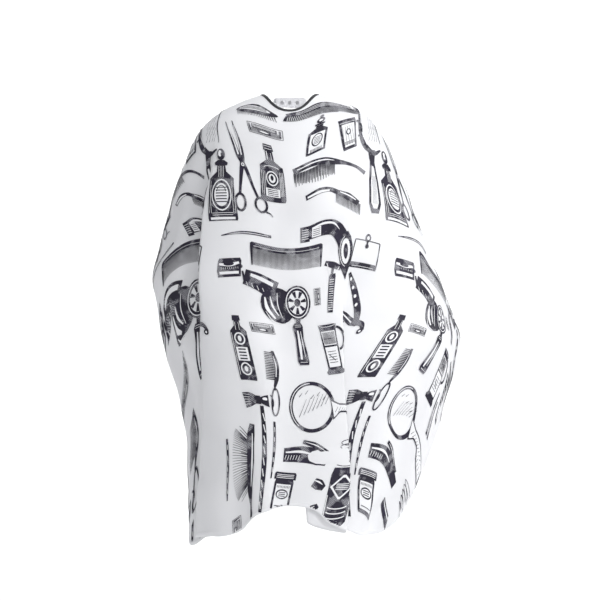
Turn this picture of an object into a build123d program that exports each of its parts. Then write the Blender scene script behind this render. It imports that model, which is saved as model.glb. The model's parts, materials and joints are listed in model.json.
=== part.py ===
# Barber cape, closed at the nape and spread over a wearer's shoulders and arms. Millimetres.
# The origin is the centre of the neck opening, +Z is up and the wearer faces -Y.
# Left and right are as seen from the front: left is -X, right is +X.
import os
from math import cos, radians, sin

from build123d import *

os.makedirs("parts", exist_ok=True)

# ---- driving dimensions ----
# neck opening
neck_half_width = 63.0
neck_half_depth = 66.0
closure_half_gap = 40.0  # half of the straight stretch at the nape that the tabs bridge
# cloth and trimmings
cloth = 1.2  # sheet with its small creases
binding_width = 7.0  # visible width of the bias tape on the outer face
binding_layer = 0.8  # one side of the folded tape
thread = 0.5
stitch_inset = 6.0  # hem stitch line, in from the edge
# shape over the wearer
shoulder_half = 206.0
shoulder_drop = 80.0
elbow_left = 318.0
elbow_left_drop = 430.0
hand_right = 388.0
hand_right_drop = 590.0
skirt_left = 226.0
skirt_right = 300.0
chest_depth = 150.0
skirt_depth = 200.0
back_depth = 170.0
# edges of the sheet
front_drop = 941.0  # neck to the middle of the front hem
corner_extra = 94.0  # how far the lowest front corner hangs below that
back_drop = 430.0  # neck to the back edge
slit_half_bottom = 70.0  # half of the gape of the back slit at the back edge
# neck tabs
tab_height = 24.0
tab_layer = 0.4  # one layer of the tab's cloth
interfacing = 0.6
tab_seam = 3.0  # cloth beyond the interfacing, all round
tab_stitch = 2.0  # stitch line, in from the tab's edge
tab_overlap = 66.0  # how far the two tabs lie over each other
tab_corner = 5.0
root_gap = 0.6  # sewn-fold clearance between a tab and the neckline's end
tab_gap = 3.4  # between the tabs, filled by the sockets and studs
# snap fasteners
snap_pitch = 18.0
snap_cap_r = 5.5
snap_cap_height = 0.9
socket_r = 4.6
socket_height = 2.2
socket_floor = 0.4
post_r = 1.75  # head of the stud's post
post_neck_r = 1.4
post_height = 1.6
post_play = 0.55  # between the post's head and the socket's bore
stud_r = 4.6
stud_base = 0.6
back_ring_height = 0.7
spring_wire = 0.3
spring_play = 0.06  # between a spring wire and the post's head
prong_r = 0.9  # hollow stem through the tab
# care label
label_width = 26.0
label_length = 40.0
label_thickness = 0.35

# ---- sizes that follow ----
tab_thickness = 2 * tab_layer + interfacing
tab_length = closure_half_gap + tab_overlap / 2 - root_gap
nape_y = neck_half_depth * (1 - (closure_half_gap / neck_half_width) ** 2) ** 0.5
tab_top = 2.0
tab_bottom = tab_top - tab_height
tab_mid = (tab_top + tab_bottom) / 2
inner_tab_y = nape_y - 2.0  # outer face of the inner (right) tab
outer_tab_y = inner_tab_y + tab_gap  # inner face of the outer (left) tab
corner_drop = front_drop + corner_extra
lowest = corner_drop + 60.0


def girth(drop, left, right, front, back):
    """One level of the cape: how far it reaches to each side at this drop below the neck."""
    return drop, left, right, front, back


levels = [
    girth(-8, neck_half_width - 22, neck_half_width - 22, neck_half_depth - 34, neck_half_depth - 22),
    girth(3, neck_half_width + 14, neck_half_width + 18, neck_half_depth - 24, neck_half_depth - 14),
    girth(0.20 * shoulder_drop, 0.56 * shoulder_half, 0.61 * shoulder_half, 0.33 * chest_depth, 0.36 * back_depth),
    girth(0.52 * shoulder_drop, 0.80 * shoulder_half, 0.84 * shoulder_half, 0.44 * chest_depth, 0.56 * back_depth),
    girth(shoulder_drop, shoulder_half, shoulder_half, 0.64 * chest_depth, 0.74 * back_depth),
    girth(1.7 * shoulder_drop, 1.14 * shoulder_half, 1.15 * shoulder_half, 0.84 * chest_depth, 0.86 * back_depth),
    girth(2.9 * shoulder_drop, 0.85 * elbow_left, 0.70 * hand_right, chest_depth, 0.94 * back_depth),
    girth(0.78 * elbow_left_drop, 0.93 * elbow_left, 0.81 * hand_right, chest_depth, 0.98 * back_depth),
    girth(elbow_left_drop, elbow_left, 0.89 * hand_right, 1.05 * chest_depth, back_depth),
    girth(0.88 * hand_right_drop, 0.93 * elbow_left, 0.97 * hand_right, 0.85 * skirt_depth, back_depth),
    girth(hand_right_drop, 0.87 * elbow_left, hand_right, 0.91 * skirt_depth, 0.98 * back_depth),
    girth(0.78 * front_drop, 1.04 * skirt_left, 1.15 * skirt_right, 0.97 * skirt_depth, 0.85 * back_depth),
    girth(0.96 * front_drop, skirt_left, 0.96 * skirt_right, skirt_depth, 0.7 * back_depth),
    girth(lowest, skirt_left, 0.62 * skirt_right, skirt_depth, 0.6 * back_depth),
]


def bell(grow, floor=0.0):
    """The solid bell under the cape's outer face, moved outwards and upwards by grow."""
    with BuildPart() as solid:
        for drop, left, right, front, back in levels:
            last = drop == lowest
            with BuildSketch(Plane.XY.offset(-drop + (grow if not last else -floor))):
                with BuildLine():
                    points = []
                    for step in range(8):
                        turn = radians(45 * step)
                        across = right if cos(turn) > 0 else left
                        along = back if sin(turn) > 0 else front
                        points.append(((across + grow) * cos(turn), (along + grow) * sin(turn)))
                    Spline(*points, periodic=True)
                make_face()
        loft(ruled=True)
    return solid.part


outer_bell = bell(0)
inner_bell = bell(-cloth, floor=10)


def neck_column(grow, low, high):
    """An upright column of the neck opening's outline, larger by grow."""
    with BuildPart() as column:
        with BuildSketch(Plane.XY.offset(low)):
            Ellipse(neck_half_width + grow, neck_half_depth + grow)
        extrude(amount=high - low)
    return column.part


def side_edge(shift=0.0):
    """The side edge and the back hem in side view, moved up and forward by shift."""
    return Spline(
        (1.4 * back_depth, -back_drop + shift),
        (0.85 * back_depth, -back_drop + shift),
        (0.30 * back_depth - shift, -0.60 * front_drop + shift),
        (0.05 * back_depth - shift, -0.85 * front_drop),
        (-0.05 * back_depth - shift, -lowest),
    )


def front_edge():
    """The front hem in front view."""
    return Spline(
        (-1.3 * skirt_left, -corner_drop - 20),
        (-skirt_left, -corner_drop),
        (-0.5 * skirt_left, -front_drop - 30),
        (0, -front_drop),
        (0.3 * skirt_right, -front_drop - 30),
        (0.58 * skirt_right, -front_drop - 68),
        (0.8 * skirt_right, -front_drop - 16),
        (1.4 * skirt_right, -0.80 * front_drop),
    )


def below(edge_curve, plane, reach):
    """A solid of everything on the lower and outer side of an edge curve."""
    with BuildPart() as cut:
        with BuildSketch(plane):
            with BuildLine():
                edge = edge_curve()
                corner = ((edge @ 0).X, -lowest - 20)
                Polyline(edge @ 1, ((edge @ 1).X, -lowest - 20), corner, edge @ 0)
            make_face()
        extrude(amount=reach, both=True)
    return cut.part


def slit(grow):
    """The gape of the back slit, from the nape down to the back edge, wider by grow each side."""
    with BuildPart() as wedge:
        with BuildSketch(Plane.XZ):
            with BuildLine():
                Polyline(
                    (-closure_half_gap - grow, 30),
                    (closure_half_gap + grow, 30),
                    (closure_half_gap + grow, -10),
                    (slit_half_bottom + grow, -back_drop - 10),
                    (-slit_half_bottom - grow, -back_drop - 10),
                    (-closure_half_gap - grow, -10),
                    close=True,
                )
            make_face()
        extrude(amount=-2 * back_depth)
    return wedge.part


behind_side = below(side_edge, Plane.YZ, 2 * hand_right)
under_front = below(front_edge, Plane.XZ, 2 * skirt_depth)


def finish(piece, name):
    """Labels one sub-part and writes it to its own file."""
    piece.part.label = name
    export_step(piece.part, f"parts/{name}.step")


# ---- the sheet: one cut piece with a neck hole and a slit down the back ----
with BuildPart() as cape_sheet:
    add(outer_bell)
    add(inner_bell, mode=Mode.SUBTRACT)
    add(neck_column(0, -200, 60), mode=Mode.SUBTRACT)
    add(behind_side, mode=Mode.SUBTRACT)
    add(under_front, mode=Mode.SUBTRACT)
    add(slit(0), mode=Mode.SUBTRACT)
finish(cape_sheet, "cape_sheet")

# ---- bias tape folded over the edge of the neck hole, and its stitch line ----
binding_bell = bell(binding_layer)
with BuildPart() as neck_binding:
    add(binding_bell)
    add(bell(-cloth - binding_layer, floor=10), mode=Mode.SUBTRACT)
    add(neck_column(binding_width, -200, 60), mode=Mode.INTERSECT)
    add(neck_column(-binding_layer, -220, 80), mode=Mode.SUBTRACT)
    add(cape_sheet.part, mode=Mode.SUBTRACT)
    add(slit(0), mode=Mode.SUBTRACT)
finish(neck_binding, "neck_binding")

with BuildPart() as binding_thread:
    add(bell(binding_layer + thread / 2))
    add(binding_bell, mode=Mode.SUBTRACT)
    add(neck_column(binding_width - thread, -200, 60), mode=Mode.INTERSECT)
    add(neck_column(binding_width - 2 * thread, -220, 80), mode=Mode.SUBTRACT)
    add(slit(thread), mode=Mode.SUBTRACT)
finish(binding_thread, "binding_thread")

# ---- stitch lines of the narrow hem, up both side edges and across the back on either side of the slit ----
with BuildPart() as hem_thread:
    with BuildSketch(Plane.YZ):
        with BuildLine():
            near = side_edge(stitch_inset)
            far = side_edge(stitch_inset + thread)
            Line(near @ 0, far @ 0)
            Line(near @ 1, far @ 1)
        make_face()
    extrude(amount=2 * hand_right, both=True)
    add(bell(thread / 2), mode=Mode.INTERSECT)
    add(outer_bell, mode=Mode.SUBTRACT)
    add(under_front, mode=Mode.SUBTRACT)
    add(slit(stitch_inset), mode=Mode.SUBTRACT)
finish(hem_thread, "hem_thread")

# ---- blank care label, sewn under the cape at the back left of the neckline ----
label_x = -neck_half_width - 12
label_y = 0.30 * back_depth
label_drop = 0.25 * shoulder_drop + label_length
with BuildPart() as care_label:
    with Locations((label_x, label_y, 0)):
        Box(label_width, label_thickness, label_drop, align=(Align.CENTER, Align.CENTER, Align.MAX))
    add(inner_bell, mode=Mode.INTERSECT)
finish(care_label, "care_label")


# ---- neck tabs ----
def tab_outline(root_x, tip_x, y, inset=0.0, corner=tab_corner):
    """A flat tab's outline in the plane at y, square at its root and rounded at its tip."""
    low, high = min(root_x, tip_x), max(root_x, tip_x)
    with BuildSketch(Plane.XZ.offset(-y)) as outline:
        with Locations(((low + high) / 2, tab_mid)):
            RectangleRounded(high - low - 2 * inset, tab_height - 2 * inset, corner)
    return outline.sketch


def tab_cloth(root_x, tip_x, inner_y, holes):
    """Two layers of cloth sewn round the interfacing, pierced for the snap stems. It grows towards +Y."""
    with BuildPart() as tab:
        with BuildSketch(Plane.XZ.offset(-inner_y)):
            add(tab_outline(root_x, tip_x, 0))
        extrude(amount=-tab_thickness)
        with BuildSketch(Plane.XZ.offset(-inner_y - tab_layer)):
            add(tab_outline(root_x, tip_x, 0, inset=tab_seam, corner=tab_corner - tab_seam))
        extrude(amount=-interfacing, mode=Mode.SUBTRACT)
        with BuildSketch(Plane.XZ.offset(-inner_y)):
            with Locations(*[(x, tab_mid) for x in holes]):
                Circle(prong_r)
        extrude(amount=-tab_thickness, mode=Mode.SUBTRACT)
    return tab


def tab_stiffener(root_x, tip_x, inner_y, holes):
    """The interfacing that fills a tab."""
    with BuildPart() as filler:
        with BuildSketch(Plane.XZ.offset(-inner_y - tab_layer)):
            add(tab_outline(root_x, tip_x, 0, inset=tab_seam, corner=tab_corner - tab_seam))
            with Locations(*[(x, tab_mid) for x in holes]):
                Circle(prong_r, mode=Mode.SUBTRACT)
        extrude(amount=-interfacing)
    return filler


def tab_stitches(root_x, tip_x, inner_y):
    """A stitch line round a tab, seen on both of its faces."""
    with BuildPart() as stitches:
        for start in (inner_y - thread / 2, inner_y + tab_thickness):
            with BuildSketch(Plane.XZ.offset(-start)):
                add(tab_outline(root_x, tip_x, 0, inset=tab_stitch, corner=tab_corner - tab_stitch))
                add(
                    tab_outline(
                        root_x, tip_x, 0, inset=tab_stitch + thread, corner=tab_corner - tab_stitch - thread
                    ),
                    mode=Mode.SUBTRACT,
                )
            extrude(amount=-thread / 2)
    return stitches


left_root = -closure_half_gap + root_gap
left_tip = tab_overlap / 2
right_root = closure_half_gap - root_gap
right_tip = -tab_overlap / 2
socket_places = [0.0, snap_pitch]
stud_places = [-snap_pitch, 0.0, snap_pitch]
right_back_y = inner_tab_y - tab_thickness  # face of the inner tab that touches the neck

left_tab = tab_cloth(left_root, left_tip, outer_tab_y, socket_places)
finish(left_tab, "left_tab")
left_tab_interfacing = tab_stiffener(left_root, left_tip, outer_tab_y, socket_places)
finish(left_tab_interfacing, "left_tab_interfacing")
left_tab_thread = tab_stitches(left_root, left_tip, outer_tab_y)
finish(left_tab_thread, "left_tab_thread")

right_tab = tab_cloth(right_root, right_tip, right_back_y, stud_places)
finish(right_tab, "right_tab")
right_tab_interfacing = tab_stiffener(right_root, right_tip, right_back_y, stud_places)
finish(right_tab_interfacing, "right_tab_interfacing")
right_tab_thread = tab_stitches(right_root, right_tip, right_back_y)
finish(right_tab_thread, "right_tab_thread")


# ---- snap fasteners: round pieces on axes along Y through the middle of the tabs ----
def disc(x, start, height, radius, mode=Mode.ADD):
    """A round plate on a snap's axis, from start towards +Y, in the sub-part being built."""
    with Locations(Plane(origin=(x, start, tab_mid), z_dir=(0, 1, 0))):
        Cylinder(radius, height, align=(Align.CENTER, Align.CENTER, Align.MIN), mode=mode)


outer_face_y = outer_tab_y + tab_thickness
with BuildPart() as snap_caps:
    for place in socket_places:
        disc(place, outer_face_y, snap_cap_height, snap_cap_r)
    fillet(snap_caps.faces().sort_by(Axis.Y)[-len(socket_places):].edges(), 0.7 * snap_cap_height)
    for place in socket_places:
        disc(place, outer_tab_y, tab_thickness, prong_r)
finish(snap_caps, "snap_caps")

socket_mouth_y = outer_tab_y - socket_height
with BuildPart() as snap_sockets:
    for place in socket_places:
        disc(place, socket_mouth_y, socket_height, socket_r)
    chamfer(snap_sockets.faces().sort_by(Axis.Y)[: len(socket_places)].edges(), 0.25 * socket_height)
    for place in socket_places:
        disc(place, socket_mouth_y, socket_height - socket_floor, post_r + post_play, mode=Mode.SUBTRACT)
finish(snap_sockets, "snap_sockets")

spring_half_length = ((post_r + post_play) ** 2 - (post_r + spring_play + spring_wire) ** 2) ** 0.5
spring_y = socket_mouth_y + 0.45 * (socket_height - socket_floor)
with BuildPart() as socket_springs:
    for place in socket_places:
        for side in (-1, 1):
            spring_z = tab_mid + side * (post_r + spring_play + spring_wire / 2)
            with Locations(Plane(origin=(place, spring_y, spring_z), z_dir=(1, 0, 0))):
                Cylinder(spring_wire / 2, 2 * spring_half_length)
finish(socket_springs, "socket_springs")

with BuildPart() as snap_studs:
    for place in stud_places:
        disc(place, inner_tab_y, stud_base, stud_r)
        disc(place, inner_tab_y + stud_base, 0.5 * post_height, post_neck_r)
        disc(place, inner_tab_y + stud_base + 0.5 * post_height, 0.5 * post_height, post_r)
finish(snap_studs, "snap_studs")

with BuildPart() as stud_back_rings:
    for place in stud_places:
        disc(place, right_back_y - back_ring_height, back_ring_height, stud_r)
    fillet(stud_back_rings.faces().sort_by(Axis.Y)[: len(stud_places)].edges(), 0.5 * back_ring_height)
    for place in stud_places:
        disc(place, right_back_y, tab_thickness, prong_r)
finish(stud_back_rings, "stud_back_rings")
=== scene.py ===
import json
import bpy
import numpy as np
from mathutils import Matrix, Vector

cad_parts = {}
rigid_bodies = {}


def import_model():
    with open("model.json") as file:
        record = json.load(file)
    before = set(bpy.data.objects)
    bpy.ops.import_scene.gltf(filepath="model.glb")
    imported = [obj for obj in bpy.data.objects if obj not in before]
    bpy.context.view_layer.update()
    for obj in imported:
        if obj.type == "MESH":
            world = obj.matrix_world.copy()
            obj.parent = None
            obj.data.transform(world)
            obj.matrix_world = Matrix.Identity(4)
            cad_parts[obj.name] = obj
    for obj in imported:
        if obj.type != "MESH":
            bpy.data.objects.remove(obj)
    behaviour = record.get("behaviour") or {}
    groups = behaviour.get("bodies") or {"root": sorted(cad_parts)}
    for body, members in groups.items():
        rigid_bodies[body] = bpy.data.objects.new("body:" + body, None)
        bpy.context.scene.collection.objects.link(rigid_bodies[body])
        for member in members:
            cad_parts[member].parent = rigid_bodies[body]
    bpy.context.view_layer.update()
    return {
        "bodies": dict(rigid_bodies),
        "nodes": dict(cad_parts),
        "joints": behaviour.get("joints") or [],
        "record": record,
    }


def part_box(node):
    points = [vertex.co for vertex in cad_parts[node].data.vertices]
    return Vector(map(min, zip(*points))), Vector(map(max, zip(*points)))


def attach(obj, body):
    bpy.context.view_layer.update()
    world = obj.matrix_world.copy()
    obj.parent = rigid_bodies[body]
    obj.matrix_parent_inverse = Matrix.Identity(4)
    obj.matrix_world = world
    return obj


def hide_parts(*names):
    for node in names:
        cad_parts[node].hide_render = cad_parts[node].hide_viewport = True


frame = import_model()
scene = bpy.context.scene

# the shape of the worn cape, in metres and degrees
# turn is 0 at the front, + to the right seen from the front, and 166 at each side of the back slit
form = {
    "neckWidth": 0.063,  # half widths of the neck opening
    "neckDepth": 0.066,
    "slitTurn": 166,
    "rows": [  # drop below the neck, reach to the left, right, front and back
        (-0.008, 0.041, 0.041, 0.032, 0.044), (0.003, 0.077, 0.081, 0.042, 0.052),
        (0.016, 0.115, 0.126, 0.050, 0.061), (0.042, 0.165, 0.173, 0.066, 0.095),
        (0.080, 0.206, 0.206, 0.096, 0.126), (0.136, 0.235, 0.237, 0.126, 0.146),
        (0.232, 0.270, 0.272, 0.150, 0.160), (0.335, 0.296, 0.314, 0.150, 0.167),
        (0.430, 0.318, 0.345, 0.158, 0.170), (0.519, 0.296, 0.376, 0.170, 0.170),
        (0.590, 0.277, 0.388, 0.182, 0.167), (0.734, 0.235, 0.345, 0.194, 0.145),
        (0.903, 0.226, 0.288, 0.200, 0.119), (1.095, 0.226, 0.186, 0.200, 0.102)],
    "edge": [  # turn and how far the sheet's edge hangs below the neck there
        (-166, 0.425), (-138, 0.440), (-124, 0.480), (-112, 0.56), (-100, 0.74), (-90, 0.94), (-80, 1.035),
        (-66, 1.018),
        (-50, 1.006), (-36, 1.000), (-26, 0.982), (-20, 0.957), (-12, 0.941), (8, 0.941), (14, 0.964),
        (20, 0.975),
        (29, 0.987), (40, 1.001), (50, 1.010), (60, 1.000), (67, 0.962), (75, 0.920), (88, 0.885),
        (100, 0.790),
        (112, 0.745), (124, 0.640), (138, 0.475), (152, 0.440), (166, 0.425)],
    # turn at a few drops, half width, shift, lift, drop where it starts, drop where it is full, side on top
    "pleats": [
        (((0.10, -50), (0.25, -40), (0.43, -30), (0.60, -36), (0.87, -50), (1.05, -54)), 6.0, 14.5, 0.020,
         0.08, 0.40, 1),
        (((0.30, 24), (0.43, 21), (0.60, 15), (0.75, 14), (0.90, 17), (1.03, 22)), 7.0, 16.5, 0.011, 0.26,
         0.90, -1),
        (((0.30, 92), (1.00, 98)), 7.0, 13.0, 0.014, 0.30, 0.62, -1),
        (((0.30, -100), (0.90, -108)), 7.0, 13.0, 0.014, 0.30, 0.60, 1),
        (((0.18, 136), (0.50, 142)), 6.0, 10.0, 0.010, 0.18, 0.40, 1),
        (((0.18, -136), (0.50, -143)), 6.0, 10.0, 0.010, 0.18, 0.40, -1)],
    "flutes": [  # turn, half width, depth, drop where it starts, drop where it is full
        (-16, 9, 0.012, 0.30, 0.95), (-3, 6, -0.008, 0.20, 0.80), (38, 8, 0.010, 0.45, 0.95),
        (52, 8, -0.012, 0.30, 0.90),
        (66, 8, 0.014, 0.25, 0.90), (-68, 8, -0.012, 0.25, 0.85), (-80, 7, 0.012, 0.30, 0.80),
        (118, 7, 0.016, 0.20, 0.60),
        (-120, 7, 0.016, 0.20, 0.50), (155, 6, 0.012, 0.12, 0.42), (-155, 6, 0.012, 0.12, 0.42)],
    "creases": [  # turns per degree, waves per metre of drop, height, phase
        (0.11, 2.3, 0.0022, 0.3), (0.17, -4.1, 0.0015, 1.9), (0.29, 6.7, 0.0009, 4.0),
        (0.07, 8.9, 0.0012, 2.6)],
    "cut": (1.20, 1.40),  # flat width and length
    "columns": 1001,
    "steps": 301,
}


def ease(value, low, high):  # 0 below low, 1 above high, a smooth step between
    part = np.clip((value - low) / (high - low), 0, 1)
    return part * part * (3 - 2 * part)


def through(value, knots):  # a smooth curve through listed knots: cubic Hermite, slopes from neighbours
    at, height = np.array(knots, float).T
    slope = np.gradient(height, at)
    i = np.clip(np.searchsorted(at, value) - 1, 0, len(at) - 2)
    gap = at[i + 1] - at[i]
    f = np.clip((value - at[i]) / gap, 0, 1)
    return ((1 + 2 * f) * (1 - f) ** 2 * height[i] + f * (1 - f) ** 2 * gap * slope[i]
            + f * f * (3 - 2 * f) * height[i + 1] + f * f * (f - 1) * gap * slope[i + 1])


def profileRows(count):  # the rows, smoothed by Catmull-Rom curves down the cape
    rows = np.array(form["rows"])
    t = np.linspace(0, len(rows) - 1, count)
    i = np.clip(np.floor(t).astype(int), 0, len(rows) - 2)
    f = (t - i)[:, None]
    a, b, c, d = [rows[np.clip(i + k, 0, len(rows) - 1)] for k in (-1, 0, 1, 2)]
    return 0.5 * (2 * b + (c - a) * f + (2 * a - 5 * b + 4 * c - d) * f**2 + (3 * b - a - 3 * c + d) * f**3)


def onBell(bend, turn, place):  # the point at a turn on the smooth bell, place counted along its rows
    reach = [np.interp(place, np.arange(len(bend)), bend[:, k]) for k in range(5)]
    angle = np.radians(turn)
    x = np.where(np.sin(angle) < 0, reach[1], reach[2]) * np.sin(angle)
    y = -np.where(np.cos(angle) > 0, reach[3], reach[4]) * np.cos(angle)
    return np.stack([x, y, -reach[0]], -1)


def pleatShift(x, shift):  # turns forward before the middle of a pleat and back after it
    return shift * x * np.exp(0.5 - 0.5 * x * x)


# the worn sheet as a grid: rays from the neck to the edge lie on the bell, evenly spaced by arc length,
# pleats turn them forward, back and forward again, and flutes and creases lift them along the normal
def drapeCape(columns, steps):
    bend = profileRows(700)
    turns = np.linspace(-form["slitTurn"], form["slitTurn"], columns)
    settled = turns.copy()
    for knots, half, shift, *_ in form["pleats"]:
        settled -= pleatShift((turns - knots[-1][1]) / half, shift)
    edgeDrop = through(settled, form["edge"])
    along = np.linspace(0, 1, steps)
    places = np.arange(len(bend))
    rays = onBell(bend, *np.meshgrid(turns, places, indexing="ij"))
    inside = (rays[..., 0] / form["neckWidth"]) ** 2 + (rays[..., 1] / form["neckDepth"]) ** 2
    run = np.linalg.norm(np.diff(rays, axis=1), axis=2).cumsum(axis=1)
    run = np.concatenate([np.zeros((columns, 1)), run], axis=1)
    place = np.empty((columns, steps))
    reach = np.empty(columns)
    for k in range(columns):
        first = np.interp(1.0, inside[k, :200], places[:200])
        last = np.interp(edgeDrop[k], bend[:, 0], places)
        start, stop = np.interp([first, last], places, run[k])
        reach[k] = stop - start
        place[k] = np.interp(start + reach[k] * along, run[k], places)
    turn, _ = np.meshgrid(turns, along, indexing="ij")
    drop = np.interp(place, places, bend[:, 0])
    shifted, lift = turn.copy(), np.zeros_like(turn)
    for knots, half, shift, high, low, full, side in form["pleats"]:
        x = (turn - through(drop, knots)) / half
        on = ease(drop, low, full)
        shifted -= pleatShift(x, shift * on)
        lift += side * high * on * np.tanh(1.2 * x) * np.exp(-(x / 3.2) ** 2)
    for at, half, deep, low, full in form["flutes"]:
        x = (turn - at - 1.5 * np.sin(drop * 6 + at)) / half
        lift += deep * ease(drop, low, full) * np.exp(-x * x)
    for across, down, high, phase in form["creases"]:
        bent = turn + 14 * np.sin(3.1 * drop + phase * 2)
        lift += high * ease(drop, 0.05, 0.3) * np.sin(across * bent + down * drop * 6.28 + phase)
    smooth = onBell(bend, turn, place)
    out = np.cross(np.gradient(smooth, axis=1), np.gradient(smooth, axis=0))
    out /= np.linalg.norm(out, axis=2, keepdims=True) + 1e-12
    points = onBell(bend, shifted, place) + out * lift[..., None]
    return turns, reach, points


def gridNormals(points):  # unit normals of a grid, outwards
    out = np.cross(np.gradient(points, axis=1), np.gradient(points, axis=0))
    return out / (np.linalg.norm(out, axis=2, keepdims=True) + 1e-12)


turns, rayReach, fineCape = drapeCape(form["columns"], form["steps"])
fineNormals = gridNormals(fineCape)
print("drape worked out", fineCape.reshape(-1, 3).min(0).round(3), fineCape.reshape(-1, 3).max(0).round(3))


lastRow = form["steps"] - 1
lastColumn = form["columns"] - 1


def atColumn(column, values):  # reads a row of values at fractional columns
    return np.interp(column, np.arange(len(values)), values)


def runLengths(line):  # the way along a line of points, from 0 at its start
    return np.r_[0, np.linalg.norm(np.diff(line, axis=0), axis=1).cumsum()]


# reads a grid at fractional column and row positions, by bilinear weights
def readGrid(grid, column, row):
    i = np.clip(column.astype(int), 0, grid.shape[0] - 2)
    j = np.clip(row.astype(int), 0, grid.shape[1] - 2)
    f, g = column - i, row - j
    if grid.ndim == 3:
        f, g = f[..., None], g[..., None]
    return ((1 - f) * (1 - g) * grid[i, j] + f * (1 - g) * grid[i + 1, j]
            + (1 - f) * g * grid[i, j + 1] + f * g * grid[i + 1, j + 1])


# making meshes
def addMesh(name, vertices, faces, material, uv=None):
    mesh = bpy.data.meshes.new(name)
    mesh.from_pydata(vertices, [], faces)
    if uv is not None:
        corner = np.empty(len(mesh.loops), np.int32)
        mesh.loops.foreach_get("vertex_index", corner)
        layer = mesh.uv_layers.new(name="cloth")
        layer.data.foreach_set("uv", np.asarray(uv)[corner].astype(np.float32).ravel())
    mesh.polygons.foreach_set("use_smooth", np.ones(len(mesh.polygons), bool))
    mesh.update()
    piece = bpy.data.objects.new(name, mesh)
    scene.collection.objects.link(piece)
    mesh.materials.append(material)
    return piece


def gridFaces(rows, columns, closeRows=False, closeColumns=False, first=0):  # quads of a grid of vertices
    i = np.arange(rows if closeRows else rows - 1)[:, None]
    j = np.arange(columns if closeColumns else columns - 1)[None, :]
    a, b = i % rows * columns, (i + 1) % rows * columns
    c, d = j % columns, (j + 1) % columns
    return np.stack([a + c, a + d, b + d, b + c], -1).reshape(-1, 4) + first


def addGrid(name, grid, material, uv=None, **closing):
    faces = gridFaces(grid.shape[0], grid.shape[1], **closing)
    return addMesh(name, grid.reshape(-1, 3), faces, material, None if uv is None else uv.reshape(-1, 2))


def thicken(piece, amount, offset=-1):
    wall = piece.modifiers.new("wall", "SOLIDIFY")
    wall.thickness = amount
    wall.offset = offset
    wall.use_even_offset = False
    return piece


# shader groups and materials
def newGroup(name, inputs, outputs):
    group = bpy.data.node_groups.new(name, "ShaderNodeTree")
    for label, kind, value in inputs:
        socket = group.interface.new_socket(name=label, in_out="INPUT", socket_type=kind)
        if value is not None:
            socket.default_value = value
    for label, kind in outputs:
        group.interface.new_socket(name=label, in_out="OUTPUT", socket_type=kind)
    start, end = group.nodes.new("NodeGroupInput"), group.nodes.new("NodeGroupOutput")
    return group, group.nodes, group.links, start, end


def mathNode(nodes, links, kind, a, b=None):
    node = nodes.new("ShaderNodeMath")
    node.operation = kind
    for socket, value in zip(node.inputs, (a, b)):
        if value is None:
            continue
        if isinstance(value, (int, float)):
            socket.default_value = value
        else:
            links.new(value, socket)
    return node.outputs[0]


# weave: crossing threads from two wave patterns, with slubs and soft crumples, as a height
# and a soft tone that goes lighter and darker over hand-sized areas
def weaveGroup():
    group, nodes, links, start, end = newGroup(
        "weave", [("Coords", "NodeSocketVector", None), ("Threads", "NodeSocketFloat", 900.0),
                  ("Crumple", "NodeSocketFloat", 9.0)],
        [("Height", "NodeSocketFloat"), ("Tone", "NodeSocketFloat")])
    waves = []
    for direction in ("X", "Y"):
        wave = nodes.new("ShaderNodeTexWave")
        wave.bands_direction = direction
        wave.inputs["Distortion"].default_value = 0.6
        wave.inputs["Detail"].default_value = 1.0
        links.new(start.outputs["Coords"], wave.inputs["Vector"])
        links.new(start.outputs["Threads"], wave.inputs["Scale"])
        waves.append(wave.outputs["Fac"])
    threads = mathNode(nodes, links, "MULTIPLY", mathNode(nodes, links, "ADD", *waves), 0.05)
    crumple = nodes.new("ShaderNodeTexNoise")
    crumple.inputs["Detail"].default_value = 4.0
    crumple.inputs["Roughness"].default_value = 0.45
    crumple.inputs["Distortion"].default_value = 0.8
    links.new(start.outputs["Coords"], crumple.inputs["Vector"])
    links.new(start.outputs["Crumple"], crumple.inputs["Scale"])
    links.new(mathNode(nodes, links, "ADD", threads, crumple.outputs["Fac"]), end.inputs["Height"])
    tone = nodes.new("ShaderNodeTexNoise")
    tone.inputs["Scale"].default_value = 4.0
    tone.inputs["Detail"].default_value = 3.0
    links.new(start.outputs["Coords"], tone.inputs["Vector"])
    links.new(tone.outputs["Fac"], end.inputs["Tone"])
    return group


# wear: a speckled mask of fine handling marks, from two sizes of noise
def wearGroup():
    group, nodes, links, start, end = newGroup(
        "wear", [("Scale", "NodeSocketFloat", 300.0), ("Amount", "NodeSocketFloat", 0.5)],
        [("Mask", "NodeSocketFloat")])
    coords = nodes.new("ShaderNodeTexCoord")
    noises = []
    for factor in (1.0, 0.17):
        noise = nodes.new("ShaderNodeTexNoise")
        noise.inputs["Detail"].default_value = 5.0
        links.new(coords.outputs["Object"], noise.inputs["Vector"])
        links.new(mathNode(nodes, links, "MULTIPLY", start.outputs["Scale"], factor), noise.inputs["Scale"])
        noises.append(noise.outputs["Fac"])
    mask = mathNode(nodes, links, "MULTIPLY", mathNode(nodes, links, "MULTIPLY", *noises), 2.0)
    links.new(mathNode(nodes, links, "MULTIPLY", mask, start.outputs["Amount"]), end.inputs["Mask"])
    return group


weave = weaveGroup()
wear = wearGroup()

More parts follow.
